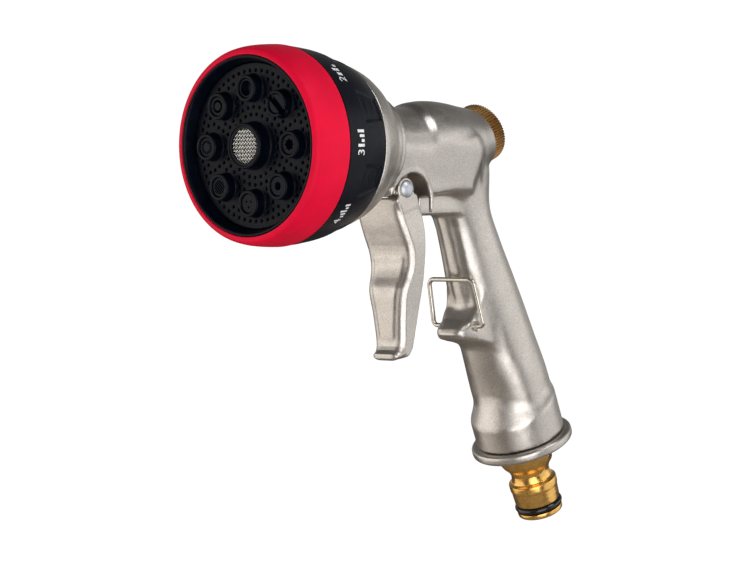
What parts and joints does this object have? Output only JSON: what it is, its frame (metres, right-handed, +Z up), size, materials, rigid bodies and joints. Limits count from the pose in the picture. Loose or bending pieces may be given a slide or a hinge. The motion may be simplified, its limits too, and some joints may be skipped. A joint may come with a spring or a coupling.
{
  "type": "hose spray nozzle",
  "caption": "Pistol-grip garden hose nozzle with a turning multi-pattern spray head, front squeeze trigger, wire trigger lock, rear flow knob and quick-connect hose spigot.",
  "frame": {"origin": "centre of the latch collar on the hose spigot, on the spigot axis", "axes": "+Z up with the head axis level, -Y along the spray, X across the mirror plane"},
  "size_m": [0.0602, 0.1447, 0.1547],
  "materials": {
    "soft_grip": "matte soft-touch, red",
    "dial_plastic": "satin, blue-black",
    "insert_plastic": "satin, blue-black",
    "cast_metal": "satin nickel over a die casting, bead blasted",
    "brass": "machined",
    "knob_brass": "knurled, dull",
    "bail_wire": "drawn wire",
    "stainless_mesh": "woven wire",
    "rivet_metal": "smooth",
    "seal_rubber": "glossy black",
    "spring_steel": "bright",
    "mark_white": "printed marks"
  },
  "bodies": {
    "body": {"base_ring": "cast_metal", "body_casting": "cast_metal", "bonnet": "brass", "detent_ball": "spring_steel", "detent_spring": "spring_steel", "front_bell": "cast_metal", "head_screw": "spring_steel", "hose_adapter": "brass", "inlet_gasket": "seal_rubber", "outlet_seal": "seal_rubber", "outlet_spring": "spring_steel", "screw_washer": "spring_steel", "spigot_oring": "seal_rubber", "stem_gland": "brass", "stem_oring": "seal_rubber", "trigger_pin": "rivet_metal", "valve_seat": "brass", "valve_spring": "spring_steel"},
    "dial": {"grip_ring": "soft_grip", "dial_shell": "dial_plastic", "face_plate": "dial_plastic", "screen_holder": "dial_plastic", "mesh_screen": "stainless_mesh", "channel_plate": "dial_plastic", "cone_insert": "insert_plastic", "drip_insert": "insert_plastic", "fan_insert": "insert_plastic", "full_insert": "insert_plastic", "gush_insert": "insert_plastic", "jet_insert": "insert_plastic", "mist_insert": "insert_plastic", "soak_insert": "insert_plastic"},
    "trigger_lever": {"trigger": "cast_metal"},
    "valve_stem": {"valve_stem": "brass", "stem_washer": "seal_rubber", "washer_cup": "brass"},
    "lock_bail": {"lock_bail": "bail_wire"},
    "flow_jumper": {"jumper": "brass", "jumper_washer": "seal_rubber"},
    "flow_knob": {"flow_spindle": "brass", "spindle_oring": "seal_rubber", "flow_knob": "knob_brass", "knob_screw": "spring_steel"}
  },
  "joints": [
    {"name": "dial_turn", "type": "hinge", "parent": "body", "child": "dial", "pos_m": [0, -0.11995, 0.11202], "axis": [0, 1, 0], "continuous": true},
    {"name": "trigger_squeeze", "type": "hinge", "parent": "body", "child": "trigger_lever", "pos_m": [0, -0.07195, 0.09832], "axis": [1, 0, 0], "range_deg": [0, 27], "stiffness_Nm_per_rad": 0.1, "springref_deg": -22.92},
    {"name": "valve_slide", "type": "slide", "parent": "body", "child": "valve_stem", "axis": [0, 1, 0], "range_m": [0, 0.0036], "deforming": ["valve_spring"]},
    {"name": "bail_swing", "type": "hinge", "parent": "body", "child": "lock_bail", "pos_m": [0, -0.03695, 0.05402], "axis": [1, 0, 0], "range_deg": [0, 165]},
    {"name": "flow_slide", "type": "slide", "parent": "body", "child": "flow_jumper", "axis": [0, 0.9323, 0.3616], "range_m": [0, 0.00221]},
    {"name": "flow_turn", "type": "hinge", "parent": "flow_jumper", "child": "flow_knob", "pos_m": [0, -0.02845, 0.11441], "axis": [0, 0.9323, 0.3616], "range_deg": [0, 720]}
  ],
  "couplings": [
    {"joint": "valve_slide", "follows": "trigger_squeeze", "m_per_rad": 0.0075},
    {"joint": "flow_slide", "follows": "flow_turn", "m_per_rad": 0.00017507}
  ]
}
